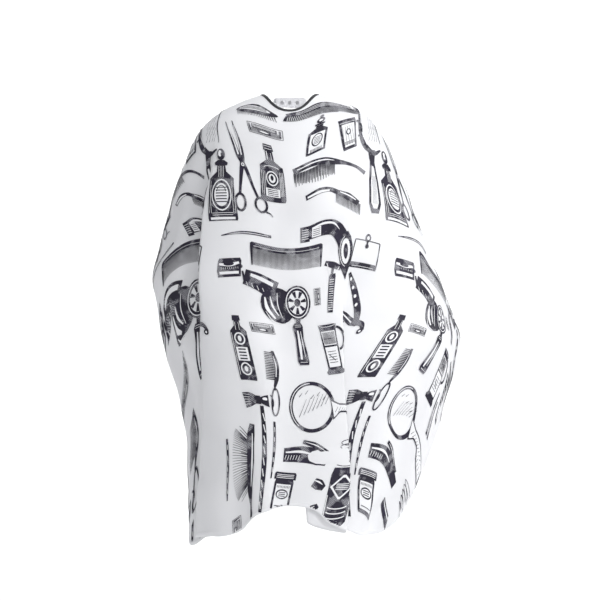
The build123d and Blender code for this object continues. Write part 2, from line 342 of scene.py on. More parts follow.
# fabrics: light and dark tone, roughness, sheen, threads per metre, crumple scale, bump height, coordinates
fabrics = {
    "cape_cloth": dict(light=(0.93, 0.93, 0.95), dark=(0.87, 0.875, 0.90), rough=0.42, sheen=0.25,
                       threads=900, crumple=14, bump=0.0012, uv=True),
    "tab_cloth": dict(light=(0.93, 0.93, 0.95), dark=(0.86, 0.86, 0.89), rough=0.45, sheen=0.25,
                      threads=900, crumple=90, bump=0.0004, uv=False),
    "binding_tape": dict(light=(0.030, 0.030, 0.036), dark=(0.014, 0.014, 0.018), rough=0.62, sheen=0.5,
                         threads=700, crumple=120, bump=0.0005, uv=False),
    "label_satin": dict(light=(0.95, 0.95, 0.95), dark=(0.88, 0.88, 0.90), rough=0.33, sheen=0.3,
                        threads=1500, crumple=60, bump=0.0002, uv=False),
    "white_thread": dict(light=(0.90, 0.90, 0.91), dark=(0.78, 0.78, 0.80), rough=0.55, sheen=0.4,
                         threads=3000, crumple=700, bump=0.0002, uv=False),
    "black_thread": dict(light=(0.060, 0.060, 0.068), dark=(0.030, 0.030, 0.036), rough=0.55, sheen=0.5,
                         threads=3000, crumple=700, bump=0.0002, uv=False),
}


def mixColour(nodes, links, factor, first, second):
    mix = nodes.new("ShaderNodeMix")
    mix.data_type = "RGBA"
    links.new(factor, mix.inputs["Factor"])
    mix.inputs["A"].default_value = (*first, 1)
    mix.inputs["B"].default_value = (*second, 1)
    return mix.outputs["Result"]


def fabricMaterial(name):
    look = fabrics[name]
    material = bpy.data.materials.new(name)
    material.use_nodes = True
    nodes, links = material.node_tree.nodes, material.node_tree.links
    shader = nodes["Principled BSDF"]
    coords = nodes.new("ShaderNodeTexCoord")
    cloth = nodes.new("ShaderNodeGroup")
    cloth.node_tree = weave
    cloth.inputs["Threads"].default_value = look["threads"]
    cloth.inputs["Crumple"].default_value = look["crumple"]
    links.new(coords.outputs["UV" if look["uv"] else "Object"], cloth.inputs["Coords"])
    colour = mixColour(nodes, links, cloth.outputs["Tone"], look["dark"], look["light"])
    links.new(colour, shader.inputs["Base Color"])
    bump = nodes.new("ShaderNodeBump")
    bump.inputs["Distance"].default_value = look["bump"]
    bump.inputs["Strength"].default_value = 0.8
    links.new(cloth.outputs["Height"], bump.inputs["Height"])
    links.new(bump.outputs["Normal"], shader.inputs["Normal"])
    shader.inputs["Roughness"].default_value = look["rough"]
    shader.inputs["Sheen Weight"].default_value = look["sheen"]
    shader.inputs["Sheen Roughness"].default_value = 0.4
    shader.inputs["Specular IOR Level"].default_value = 0.4
    return material


metals = {
    "snap_metal": dict(light=(0.78, 0.78, 0.80), dark=(0.52, 0.52, 0.54), rough=0.24, scratch=0.35),
    "spring_steel": dict(light=(0.62, 0.62, 0.64), dark=(0.38, 0.38, 0.40), rough=0.32, scratch=0.5),
}


def metalMaterial(name):
    look = metals[name]
    material = bpy.data.materials.new(name)
    material.use_nodes = True
    nodes, links = material.node_tree.nodes, material.node_tree.links
    shader = nodes["Principled BSDF"]
    marks = nodes.new("ShaderNodeGroup")
    marks.node_tree = wear
    marks.inputs["Scale"].default_value = 900
    marks.inputs["Amount"].default_value = look["scratch"]
    links.new(mixColour(nodes, links, marks.outputs["Mask"], look["light"], look["dark"]),
              shader.inputs["Base Color"])
    links.new(mathNode(nodes, links, "ADD", mathNode(nodes, links, "MULTIPLY", marks.outputs["Mask"], 0.35),
                       look["rough"]),
              shader.inputs["Roughness"])
    shader.inputs["Metallic"].default_value = 1.0
    return material


inkLook = dict(black=(0.012, 0.012, 0.016), tint=(0.035, 0.028, 0.060), thin=(0.42, 0.42, 0.45), rough=0.5,
               lines=150.0, bend=5.0, patch=42.0, low=0.50, high=0.60)


# printed ink: near black drifting to navy. In patches (noise between low and high) it thins to grey along
# fine
# wavy lines, as an engraving's shading does: thin share = patch times line
def inkMaterial():
    material = bpy.data.materials.new("print_ink")
    material.use_nodes = True
    nodes, links = material.node_tree.nodes, material.node_tree.links
    shader = nodes["Principled BSDF"]
    marks = nodes.new("ShaderNodeGroup")
    marks.node_tree = wear
    marks.inputs["Scale"].default_value = 60
    marks.inputs["Amount"].default_value = 0.9
    coords = nodes.new("ShaderNodeTexCoord")
    patch = nodes.new("ShaderNodeTexNoise")
    patch.inputs["Scale"].default_value = inkLook["patch"]
    patch.inputs["Detail"].default_value = 3.0
    links.new(coords.outputs["Object"], patch.inputs["Vector"])
    wave = nodes.new("ShaderNodeTexWave")
    wave.bands_direction = "DIAGONAL"
    wave.inputs["Scale"].default_value = inkLook["lines"]
    wave.inputs["Distortion"].default_value = inkLook["bend"]
    links.new(coords.outputs["Object"], wave.inputs["Vector"])
    spread = mathNode(nodes, links, "SUBTRACT", patch.outputs["Fac"], inkLook["low"])
    spread = mathNode(nodes, links, "MULTIPLY", spread, 1 / (inkLook["high"] - inkLook["low"]))
    spread = mathNode(nodes, links, "MINIMUM", mathNode(nodes, links, "MAXIMUM", spread, 0.0), 1.0)
    thin = mathNode(nodes, links, "MULTIPLY", spread, wave.outputs["Fac"])
    dark = mixColour(nodes, links, marks.outputs["Mask"], inkLook["black"], inkLook["tint"])
    mix = nodes.new("ShaderNodeMix")
    mix.data_type = "RGBA"
    links.new(thin, mix.inputs["Factor"])
    links.new(dark, mix.inputs["A"])
    mix.inputs["B"].default_value = (*inkLook["thin"], 1)
    links.new(mix.outputs["Result"], shader.inputs["Base Color"])
    shader.inputs["Roughness"].default_value = inkLook["rough"]
    shader.inputs["Specular IOR Level"].default_value = 0.3
    return material


looks = {name: fabricMaterial(name) for name in fabrics}
looks.update({name: metalMaterial(name) for name in metals})
looks["print_ink"] = inkMaterial()
print("materials made")

# the sheet
sheetLook = {"columns": 333, "steps": 136, "cloth": 0.0005}


def capeSheet():  # the draped grid as one mesh with a thin wall inwards
    column = np.linspace(0, lastColumn, sheetLook["columns"])
    row = np.linspace(0, lastRow, sheetLook["steps"])
    c, r = np.meshgrid(column, row, indexing="ij")
    points = readGrid(fineCape, c, r)
    ray = atColumn(c, rayReach) * r / lastRow
    across = np.radians(atColumn(c, turns)) * 0.3
    return thicken(addGrid("capeSheet", points, looks["cape_cloth"], np.stack([across, ray], -1)),
                   sheetLook["cloth"])


cape = capeSheet()
print("sheet made")

# hems and binding, as profiles carried along the sheet's edges
hemLook = {
    "width": 0.010, "turn": 0.0009, "stitch": 0.0032, "gap": 0.0012, "thread": 0.00035, "columns": 900,
    "shares": [0.02, 0.10, 0.5, 0.9, 1.0, 1.02],  # of the width, from the edge inwards
    "heights": [0.1, 1.0, 1.0, 1.0, 0.7, 0.0],  # of the turned-up layer there
    "stitchLine": 0.86,  # share of the width
}


# the line that lies a given distance in from the edge: down the left slit, round the hem and up the right
# slit
def edgeLine(inset, spacing):
    last = lastRow
    row = last - inset / rayReach * last
    columns = np.arange(form["columns"], dtype=float)
    gapRows = np.linalg.norm(np.diff(fineCape[:, -1], axis=0), axis=1)
    stepIn = inset / np.maximum(np.array([gapRows[:20].mean(), gapRows[-20:].mean()]), 1e-4)
    down = np.linspace(14, row[0], 200)
    up = down[::-1] * row[-1] / row[0]
    column = np.concatenate([np.interp(down, [0, last], [inset / 0.0012, stepIn[0]]),
                             columns[int(stepIn[0]) + 1:-int(stepIn[1]) - 1],
                             lastColumn - np.interp(up, [0, last], [inset / 0.0012, stepIn[1]])])
    rows = np.concatenate([down, row[int(stepIn[0]) + 1:-int(stepIn[1]) - 1], up])
    points = readGrid(fineCape, column, rows)
    length = runLengths(points)
    even = np.arange(0, length[-1], spacing)
    column, rows = np.interp(even, length, column), np.interp(even, length, rows)
    return readGrid(fineCape, column, rows), readGrid(fineNormals, column, rows)


# short rounded threads: each a six-sided tapered tube of four rings along the line, lying on the surface
def stitchRow(name, points, normals, material, lift, thread):
    ahead = np.gradient(points, axis=0)
    ahead /= np.linalg.norm(ahead, axis=1, keepdims=True) + 1e-12
    side = np.cross(normals, ahead)
    place = np.array([-0.5, -0.36, 0.36, 0.5]) * hemLook["stitch"]
    girth = np.array([0.25, 1, 1, 0.25]) * thread
    rise = np.array([-0.5, 0.35, 0.35, -0.5]) * thread
    angle = np.arange(6) * np.pi / 3
    ring = (girth[:, None, None] * (np.cos(angle)[None, :, None] * side[:, None, None, :]
            + np.sin(angle)[None, :, None] * normals[:, None, None, :]))
    middle = points[:, None, :] + ahead[:, None, :] * place[None, :,
                                                            None] + normals[:, None,
                                                                :] * (lift + rise)[None, :, None]
    vertices = (middle[:, :, None, :] + ring).reshape(-1, 3)
    one = gridFaces(4, 6, closeColumns=True)
    faces = (one[None] + 24 * np.arange(len(points))[:, None, None]).reshape(-1, 4)
    return addMesh(name, vertices, faces, material)


def hemBand():  # the turned-up edge: a low second layer from the edge to the stitch line, with a rounded step
    heights = np.array(hemLook["heights"]) * hemLook["turn"]
    column = np.linspace(0, lastColumn, hemLook["columns"])
    last = lastRow
    lines = []
    for share, height in zip(hemLook["shares"], heights):
        row = last - hemLook["width"] * share / atColumn(column, rayReach) * last
        lines.append(readGrid(fineCape, column, row) + readGrid(fineNormals, column, row) * height)
    return addGrid("hemBand", np.stack(lines, 1)[:, ::-1], looks["cape_cloth"])


hem = hemBand()
hemInset = hemLook["width"] * hemLook["stitchLine"]
linePoints, lineNormals = edgeLine(hemInset, hemLook["stitch"] + hemLook["gap"])
hemStitches = stitchRow("hemStitches", linePoints, lineNormals, looks["white_thread"], hemLook["turn"],
                        hemLook["thread"])
print("hem made")

tapeLook = {
    "profile": [  # along the cloth and above it, in metres, round the folded tape
        (0.0070, 0.0002), (0.0069, 0.0009), (0.0062, 0.0012), (0.0030, 0.0013), (0.0004, 0.0011),
        (-0.0006, 0.0004),
        (-0.0007, -0.0006), (-0.0002, -0.0014), (0.0030, -0.0018), (0.0062, -0.0016), (0.0069, -0.0012),
        (0.0070, -0.0006)],
    "stitchLine": 0.0058, "stitchPitch": 0.0042, "thread": 0.00022}


def bindingTape():  # the folded tape: its profile carried round the neck edge, in the cloth's own slope
    edge, normal = fineCape[:, 0], fineNormals[:, 3]
    inward = fineCape[:, 6] - edge
    inward -= normal * (inward * normal).sum(1, keepdims=True)
    inward /= np.linalg.norm(inward, axis=1, keepdims=True)
    along, above = np.array(tapeLook["profile"]).T
    ripple = 1 + 0.05 * np.sin(np.linspace(0, 190, len(edge)))[:, None]
    grid = edge[:, None] + inward[:, None] * along[None, :, None] + normal[:,
        None] * (above[None] * ripple)[..., None]
    tape = addGrid("bindingTape", grid[:, ::-1], looks["binding_tape"], closeColumns=True)
    line = edge + inward * tapeLook["stitchLine"]
    length = runLengths(line)
    even = np.arange(0.002, length[-1] - 0.002, tapeLook["stitchPitch"])
    at = np.stack([np.interp(even, length, line[:, k]) for k in range(3)], -1)
    up = np.stack([np.interp(even, length, normal[:, k]) for k in range(3)], -1)
    return tape, stitchRow("bindingStitches", at, up, looks["black_thread"], 0.0012, tapeLook["thread"])


tape, tapeStitches = bindingTape()
print("binding made")

# neck tabs
tabLook = {
    "power": 8,  # of the rounded rectangle: higher is squarer
    "insets": [1.0, 0.7, 0.45, 0.25, 0.12, 0.075, 0.045, 0.015, 0.0],  # rings, as shares of half the height
    "rises": [1.0, 1.0, 1.0, 1.0, 0.97, 0.80, 0.92, 0.6, 0.0],  # shares of half the thickness
    "rootLift": 0.0115, "rootNear": 0.009, "rootFar": 0.028,
    "stitchInset": 0.0022, "stitchPitch": 0.0043, "stitchRise": 0.82, "thread": 0.00028, "lift": 0.00005,
}


# near the sewn root (the -X end) the tab's lower edge rises, so that it clears the neckline when it swings
# open:
# z gains lift times closeness to the root times how far below the middle it is
def rootTaper(x, z, centre, half, lift):
    near = 1 - ease(x - centre.x + half.x, tabLook["rootNear"], tabLook["rootFar"])
    return z + lift * near * np.clip((centre.z - z) / half.z, 0, 1)


# a flat two-layer tab: rings of a rounded rectangle from the middle to the rim and back on the other face,
# dipped at the stitch line and rounded at the rim
def tabPiece(name, node, rootLift):
    low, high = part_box(node)
    centre = (low + high) / 2
    half = (high - low) / 2
    angle = np.linspace(0, 2 * np.pi, 97)[:-1]
    power = tabLook["power"]
    outlineX = np.sign(np.cos(angle)) * np.abs(np.cos(angle)) ** (2 / power)
    outlineZ = np.sign(np.sin(angle)) * np.abs(np.sin(angle)) ** (2 / power)
    rim = half.y
    rows = []
    for inset, rise in zip(np.array(tabLook["insets"]), np.array(tabLook["rises"]) * rim):
        x = centre.x + outlineX * (half.x - inset * half.z)
        z = centre.z + outlineZ * (half.z - inset * half.z)
        z = rootTaper(x, z, centre, half, rootLift)
        rows.append(np.stack([x, np.full_like(x, centre.y + rise), z], -1))
    back = [np.stack([r[:, 0], 2 * centre.y - r[:, 1], r[:, 2]], -1) for r in rows[-2::-1]]
    grid = np.array(rows + back)
    piece = addGrid(name, grid, looks["tab_cloth"], closeColumns=True)
    line = np.stack([centre.x + outlineX * (half.x - tabLook["stitchInset"]), np.zeros_like(angle),
                     centre.z + outlineZ * (half.z - tabLook["stitchInset"])], -1)
    line[:, 2] = rootTaper(line[:, 0], line[:, 2], centre, half, rootLift)
    line = np.vstack([line, line[:1]])
    length = runLengths(line)
    even = np.arange(0, length[-1] - 0.003, tabLook["stitchPitch"])
    at = np.stack([np.interp(even, length, line[:, k]) for k in range(3)], -1)
    rise = rim * tabLook["stitchRise"]
    both = np.concatenate([at + [0, centre.y + rise, 0], at[::-1] + [0, centre.y - rise, 0]])
    up = np.concatenate([np.tile([0, 1.0, 0], (len(at), 1)), np.tile([0, -1.0, 0], (len(at), 1))])
    stitches = stitchRow(name + "Stitches", both, up, looks["white_thread"],
                         tabLook["lift"], tabLook["thread"])
    return piece, stitches


leftTab, leftTabStitches = tabPiece("leftTab", "left_tab", tabLook["rootLift"])
rightTab, rightTabStitches = tabPiece("rightTab", "right_tab", 0)
print("tabs made")

# care label
labelLook = {"sag": 0.002, "curl": 0.0012, "waves": 160, "cloth": 0.0003}


def careLabel():  # a blank satin ribbon that hangs from its sewn top edge and curls a little at its foot
    low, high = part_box("care_label")
    across = np.linspace(low.x, high.x, 13)
    down = np.linspace(high.z, low.z, 25)
    x, z = np.meshgrid(across, down, indexing="ij")
    fall = (high.z - z) / (high.z - low.z)
    y = (low.y + high.y) / 2 + labelLook["sag"] * np.sin(fall * 3.0) * fall
    y = y + labelLook["curl"] * np.sin((x - low.x) * labelLook["waves"]) * fall
    return thicken(addGrid("careLabel", np.stack([x, y, z], -1), looks["label_satin"]), labelLook["cloth"], 0)


label = careLabel()
print("label made")

# the print: outlines, fills and hatching drawn in millimetres, y up, then laid on the cloth
# each stroke is a small grid of points with a tone: 1 is ink, 0 is cloth left bare inside the ink


def ribbon(path, widths, tone=1):  # a band of changing width along a smooth path through a few points
    path = np.asarray(path, float)
    widths = np.broadcast_to(np.asarray(widths, float), len(path))
    length = runLengths(path)
    even = np.linspace(0, length[-1], max(len(path), int(length[-1] / 3.5) + 2))
    path = np.stack([through(even, np.stack([length, path[:, k]], -1)) for k in (0, 1)], -1)
    widths = np.interp(even, length, widths)
    ahead = np.gradient(path, axis=0)
    ahead /= np.linalg.norm(ahead, axis=1, keepdims=True) + 1e-9
    side = np.stack([-ahead[:, 1], ahead[:, 0]], -1)
    across = np.linspace(-0.5, 0.5, max(2, int(widths.max() / 4) + 2))
    return path[:, None] + side[:, None] * (widths[:, None] * across[None])[..., None], tone


def bar(ax, ay, bx, by, width, end=None, tone=1):  # a straight stroke, tapered when end is given
    return ribbon([(ax, ay), (bx, by)], [width, width if end is None else end], tone)


def bow(x, y, rx, ry, start, stop, width, end=None, tone=1):  # a stroke along an ellipse's arc, in degrees
    count = max(5, int(abs(stop - start) / 360 * 6.3 * max(rx, ry) / 3.5) + 2)
    angle = np.radians(np.linspace(start, stop, count))
    path = np.stack([x + rx * np.cos(angle), y + ry * np.sin(angle)], -1)
    return ribbon(path, np.linspace(width, width if end is None else end, count), tone)


def solid(rows, tone=1):  # a filled shape from rows of height, left and right, smoothed between them
    rows = np.array(rows, float)
    order = np.argsort(rows[:, 0])
    y = np.unique(np.concatenate([np.arange(rows[:, 0].min(), rows[:, 0].max(), 3.0), rows[:, 0]]))
    left, right = [np.interp(y, rows[order, 0], rows[order, k]) for k in (1, 2)]
    share = np.linspace(0, 1, max(2, int((right - left).max() / 5) + 2))
    x = left[:, None] + (right - left)[:, None] * share
    return np.stack([x, np.broadcast_to(y[:, None], x.shape)], -1), tone


def block(x, y, width, height, tone=1):
    return solid([(y - height / 2, x - width / 2, x + width / 2),
                  (y + height / 2, x - width / 2, x + width / 2)], tone)


def blob(x, y, rx, ry, tone=1):  # a filled ellipse
    angle = np.linspace(-np.pi / 2, np.pi / 2, 11)
    half = rx * np.cos(angle)
    return solid(np.stack([y + ry * np.sin(angle), x - half, x + half], -1), tone)


def hatch(x0, x1, y0, y1, count, width, lean=0.0, tone=1, end=None):  # even upright strokes, leaning by lean
    return [bar(x, y0, x + lean, y1, width, end, tone) for x in np.linspace(x0, x1, count)]


def rules(x0, x1, y0, y1, count, width, tone=1):  # even level strokes
    return [bar(x0, y, x1, y, width, tone=tone) for y in np.linspace(y0, y1, count)]


def ovalBrush():
    teeth = hatch(-42, 42, -4, -17, 24, 1.6, lean=1.5, end=0.7)
    return [blob(0, 3, 48, 13), blob(0, 5, 38, 6, 0), *rules(-32, 32, 2.5, 7.5, 3, 1.1), *teeth]


def dresserComb():
    return [solid([(2, -82, 84), (10, -84, 80), (16, -78, 60)]), *rules(-74, 66, 6, 12, 3, 0.8, 0),
            *hatch(-82, 10, 3, -14, 42, 1.3), *hatch(13, 82, 3, -12, 18, 2.2), bar(-82, 3, -84, -14, 3),
            bar(83, 6, 84, -12, 4)]


def bladePacket():
    frame = [bar(-33, 13, 33, 13, 1.2), bar(-33, -13, 33, -13, 1.2), bar(-33, 13, -33, -13, 1.2),
             bar(33, 13, 33, -13, 1.2)]
    return frame + [block(0, 5, 48, 9), *rules(-22, 22, 3, 7, 3, 1.0, 0), *rules(-30, 30, -10, -1, 5, 0.9),
                    block(0, -5.5, 26, 7),
                    blob(0, -5.5, 9, 2, 0), block(-29, 0, 3, 18), block(29, 0, 3, 18)]


def scissors():
    return [ribbon([(-38, 104), (-28, 60), (-16, 14), (-2, -10), (16, -50), (26, -68)], [2, 9, 12, 9, 6, 6]),
            ribbon([(-16, 106), (-10, 60), (-8, 10), (-12, -20), (-14, -52), (-15, -70)],
                   [2, 8, 12, 9, 6, 6]),
            bar(-33, 92, -17, 18, 2.4, 4, 0), bar(-14, 92, -9, 18, 1.6, 3.4, 0), blob(-8, -4, 4, 4, 0),
            blob(-8, -4, 2, 2),
            bow(-14, -86, 11, 17, 0, 360, 5), bow(33, -82, 13, 15, 0, 360, 5),
            bow(44, -103, 14, 8, 90, 0, 4, 1.2)]


def tallBottle():
    return [solid([(-64, -27, 27), (-58, -29, 29), (-8, -28, 28), (14, -26, 26), (28, -9, 9), (50, -8, 8)]),
            solid([(50, -11, 11), (64, -9, 9)]), *rules(-8, 8, 54, 60, 2, 1.2, 0),
            *hatch(-24, -16, -50, 2, 3, 1.0, tone=0),
            *hatch(18, 24, -50, 4, 3, 0.9, tone=0), bar(-5, 30, -5, 48, 1.8, tone=0),
            bar(4, 30, 4, 46, 0.9, tone=0),
            bow(0, 8, 18, 8, 20, 160, 1.4, tone=0), blob(0, -12, 14, 17, 0), blob(0, -12, 11.5, 14),
            blob(0, -12, 8, 10, 0), blob(0, -11, 3.5, 6),
            block(0, -44, 32, 18, 0), *rules(-12, 12, -50, -38, 4, 1.8)]


def stopperBottle():
    return [solid([(-44, -22, 22), (8, -20, 20), (16, -7, 7), (22, -7, 7)]),
            solid([(-39, -17, 17), (3, -15, 15)], 0),
            blob(0, -14, 12, 15), blob(0, -14, 9.5, 12.5, 0), *rules(-7, 7, -22, -8, 5, 1.2),
            *hatch(-12, 12, -40, -33, 9, 1.2),
            solid([(22, -10, 10), (26, -10, 10)]), blob(0, 33, 8, 7), blob(0, 33, 4, 3, 0), blob(0, 43, 4, 4)]


def jug():
    return [solid([(-44, -18, 18), (-38, -19, 19), (0, -24, 22), (36, -30, 24), (44, -33, 22)]),
            solid([(-36, -13, 14), (0, -18, 17), (28, -22, 18)], 0),
            *hatch(-14, 14, -32, 22, 5, 0.9, lean=-5),
            rules(-28, 20, 33, 40, 2, 1.2, 0)[0], blob(-2, 4, 7, 9), blob(-2, 4, 4, 6, 0),
            bow(26, 6, 16, 24, -90, 90, 5),
            *rules(-14, 12, -30, -24, 3, 1.2)]


def clothesBrush():
    return [ribbon([(-88, 14), (-60, 24), (-20, 22), (12, 12), (44, 2), (70, -10), (90, -24)],
                   [14, 15, 15, 13, 7, 6, 9]),
            ribbon([(-80, 18), (-50, 26), (-15, 23), (10, 15)], [2, 3, 3, 1], 0),
            *[bar(x, 18 - abs(x + 15) * 0.12, x + 3, -16 - 5 * np.sin(x * 0.9), 2.6,
                  1.2) for x in np.linspace(-86, 10, 30)]]


def neckBrush():
    return [ribbon([(-70, 18), (-40, 24), (-12, 20), (8, 10), (34, -2), (60, -20)], [12, 13, 9, 10, 15, 11]),
            ribbon([(-66, 18), (-40, 22), (-14, 19)], [4, 6, 3], 0),
            ribbon([(14, 10), (34, 1), (54, -12)], [2, 3, 2], 0),
            *[bar(x, 8 - (x - 5) * 0.5, x - 1, -12 - (x - 5) * 0.55, 2.2,
                  1.0) for x in np.linspace(4, 64, 19)]]


def archMirror():
    return [ribbon([(-36, 142), (-40, 100), (-34, 50), (-14, 6), (10, -8), (34, 4)], [6, 12, 13, 15, 12, 4]),
            ribbon([(-35, 128), (-36, 90), (-29, 48), (-12, 12)], [1, 3, 3, 1], 0),
            *[bar(x, y, x + 8, y + 22, 1.0, 0.5) for x in (-6, 4, 14, 22) for y in (24, 44, 60, 82)],
            solid([(-140, -9, 9), (-120, -15, 15), (-70, -13, 13), (-30, -6, 8), (0, -10, 14)]),
            solid([(-130, -4, 5), (-118, -10, 9), (-72, -8, 8), (-40, -2, 3)], 0),
            *hatch(-4, 5, -120, -60, 4, 0.8)]


def decanter():
    return [solid([(-76, -34, 34), (-70, -35, 35), (10, -30, 30), (24, -12, 12), (38, -10, 10)]),
            block(0, -71, 58, 5, 0),
            blob(0, -24, 24, 32, 0), blob(0, -24, 21.5, 29), blob(0, -24, 17, 23, 0),
            *rules(-13, 13, -38, -10, 6, 2.0), bow(0, -24, 12, 18, 20, 160, 1.5),
            *hatch(-31, -26, -60, 4, 2, 1.0, tone=0), *hatch(26, 31, -60, 4, 2, 0.9, tone=0),
            *rules(-24, 24, -64, -60, 2, 1.0, 0),
            solid([(38, -15, 15), (44, -17, 17), (50, -8, 8)]), blob(0, 64, 11, 14), blob(-2, 66, 5, 8, 0),
            blob(2, 64, 2, 4),
            *hatch(-6, 6, 12, 36, 4, 1.0, tone=0)]


def thinFile():
    return [ribbon([(-57, -8), (-20, 0), (20, 4), (57, 5)], [2, 6, 7, 6]),
            ribbon([(-40, -4), (0, 2), (50, 5)], [0.6, 1.6, 1.2], 0)]


def pipeDryer():
    return [block(-50, 34, 22, 34), *rules(-58, -42, 24, 44, 5, 1.2, 0),
            ribbon([(-40, 36), (-10, 38), (18, 30), (36, 8), (48, -30)], [30, 32, 30, 32, 34]),
            ribbon([(-34, 44), (-8, 47), (18, 39), (30, 24)], [3, 5, 4, 1], 0), block(-24, 34, 20, 20, 0),
            *rules(-32, -16, 28, 40, 4, 1.3),
            solid([(-86, 46, 48), (-60, 32, 60), (-20, 26, 68), (4, 34, 62), (16, 44, 54)]),
            *[blob(47 + 10 * np.cos(a), -26 + 22 * np.sin(a), 3.4, 5.5,
                   0) for a in np.radians(np.arange(0, 360, 15))],
            bow(47, -26, 17, 32, 100, 260, 1.4, tone=0)]


def wideComb():
    return [solid([(14, -82, 82), (24, -82, 82), (27, -78, 78)]), rules(-74, 74, 19, 22, 2, 0.8, 0)[0],
            *hatch(-76, 76, 15, -22, 58, 1.5, end=0.8), bar(-79, 16, -77, -23, 6, 3),
            bar(79, 16, 77, -23, 6, 3)]


def squareFrame():
    return [bar(-30, 26, 30, 26, 2.4), bar(-30, 26, -32, -30, 2.4), bar(30, 26, 32, -30, 2.4),
            solid([(-34, -33, 33), (-22, -31, 31)]),
            rules(-26, 26, -30, -26, 2, 0.9, 0)[0], blob(0, 32, 7, 9), blob(0, 32, 3, 4, 0),
            bar(0, 24, 0, 12, 4, 2), blob(0, 14, 4, 5)]


def vintageDryer():
    nozzle = [ribbon([(-74, 84), (-40, 76), (-6, 62)], [34, 40, 46]),
              ribbon([(-60, 90), (-34, 84), (-10, 76)], [7, 9, 9], 0),
              *[bar(-70 + k * 12, 74 - k * 3, -66 + k * 12, 64 - k * 3, 1.2, tone=0) for k in range(5)],
              bar(-78, 96, -72, 70, 4, 6)]
    drum = [blob(-2, 32, 38, 40), ribbon([(-30, 46), (-26, 22), (-10, 2)], [3, 9, 4], 0),
            ribbon([(-18, 50), (-14, 30), (-2, 10)], [1.5, 5, 2], 0),
            ribbon([(-2, 60), (-2, 34), (6, 6)], [1.2, 2.4, 1], 0),
            ribbon([(-30, 14), (-16, -4), (4, -8)], [1, 3, 1], 0)]
    face = [blob(42, 40, 30, 38), bow(42, 40, 25, 33, 0, 360, 2, tone=0), blob(42, 40, 20, 27, 0),
            blob(42, 40, 7, 9),
            *[bar(42 + 8 * np.cos(a), 40 + 11 * np.sin(a), 42 + 19 * np.cos(a), 40 + 26 * np.sin(a), 3.5,
                  8.5) for a in np.radians(np.arange(10, 370, 51.4))]]
    handle = [bar(41, 6, 38, -12, 10, 8), solid([(-98, 26, 46), (-90, 23, 48), (-40, 28, 45), (-14, 26, 48),
                                                 (-6, 31, 45)]),
              ribbon([(32, -86), (34, -56), (35, -22)], [4, 6, 3], 0),
              ribbon([(41, -80), (41, -50), (41, -24)], [1, 2, 1], 0),
              *rules(30, 44, -14, -10, 2, 0.9, 0), bar(28, -92, 44, -92, 1, tone=0)]
    return nozzle + drum + face + handle


def soapBox():
    return [solid([(-20, -28, 24), (-6, -29, 26), (14, -24, 30), (20, -20, 28)]),
            solid([(-14, -24, 20), (-8, -24, 21)], 0),
            ribbon([(-22, 8), (4, 6), (24, 10)], [5, 7, 5], 0), blob(0, 8, 12, 4),
            *hatch(-18, 20, -3, 1, 9, 0.8, tone=0), blob(27, 2, 4, 4)]


def safetyRazor():
    return [ribbon([(-20, 50), (-2, 44), (18, 34)], [10, 13, 10]),
            ribbon([(-16, 50), (0, 15), (14, 38)], [1.5, 2.5, 1.5], 0),
            bar(0, 42, -2, 26, 6, 5), solid([(-54, -7, 5), (20, -8, 7), (26, -6, 6)]),
            *rules(-6, 4, -48, 14, 14, 1.2, 0)]


def straightRazor():
    return [ribbon([(-30, 66), (-18, 40), (-2, 0), (14, -30), (24, -50)], [8, 14, 15, 12, 8]),
            *[blob(-24 + 7.5 * k, 52 - 19 * k, 3, 4, 0) for k in range(4)],
            ribbon([(-44, -16), (-20, -28), (8, -42), (36, -48), (44, -60)], [7, 14, 15, 9, 6]),
            ribbon([(-38, -19), (-16, -30), (8, -43)], [1.5, 3, 2], 0),
            blob(40, -62, 6, 6), blob(40, -62, 2.4, 2.4, 0)]


def shavingMug():
    return [solid([(-56, -22, 22), (-50, -24, 24), (-44, -19, 19), (40, -20, 20), (52, -22, 22)]),
            solid([(-40, -15, 15), (4, -16, 16)], 0),
            solid([(8, -16, 16), (38, -17, 17)], 0), *hatch(-14, 14, 10, 36, 13, 1.4),
            rules(-14, 14, 22, 24, 2, 1.2)[0], *rules(-12, 10, -30, -6, 5, 1.3),
            bar(-10, -12, 4, -26, 2), bow(20, 20, 17, 24, -85, 85, 5), bow(0, 51, 20, 4, 0, 360, 1, tone=0)]


def tonicBottle():
    return [solid([(-70, -18, 18), (-66, -19, 19), (34, -18, 18), (46, -7, 7), (58, -6, 6)]),
            solid([(58, -9, 9), (70, -8, 8)]),
            blob(0, 18, 12, 13, 0), blob(0, 18, 9, 10), blob(0, 18, 4, 6, 0), blob(0, -46, 12, 14, 0),
            blob(0, -46, 9, 11), blob(0, -46, 4, 6, 0),
            block(0, -14, 25, 29, 0), *rules(-8, 8, -24, -4, 4, 3.0), *hatch(-4, 4, 36, 54, 2, 1.0, tone=0),
            bar(-15.5, -60, -15.5, 30, 1, tone=0)]


def loopedBrush():
    return [ribbon([(4, 70), (10, 44), (8, 10), (3, -8)], [6, 10, 9, 5]),
            ribbon([(5, 60), (9, 40), (7, 14)], [1, 2.4, 1.5], 0),
            *[bar(5, y, -14, y - 3, 2.4, 1.2) for y in np.linspace(8, 66, 17)],
            bow(4, -42, 8, 30, 95, 445, 3.2), bar(3, -6, 3, -16, 4)]


def shavingBrush():
    return [ribbon([(-30, -2), (-14, 0), (0, 0)], [34, 30, 16]),
            *[bar(-32, y, -16, y * 0.8, 0.9, tone=0) for y in np.linspace(-12, 12, 5)],
            block(4, 0, 9, 18), ribbon([(8, 0), (16, 0), (26, 0)], [12, 20, 26]),
            ribbon([(13, 3), (18, 4), (23, 4)], [3, 7, 5], 0),
            bow(30, 0, 6, 14, -80, 80, 2.4)]


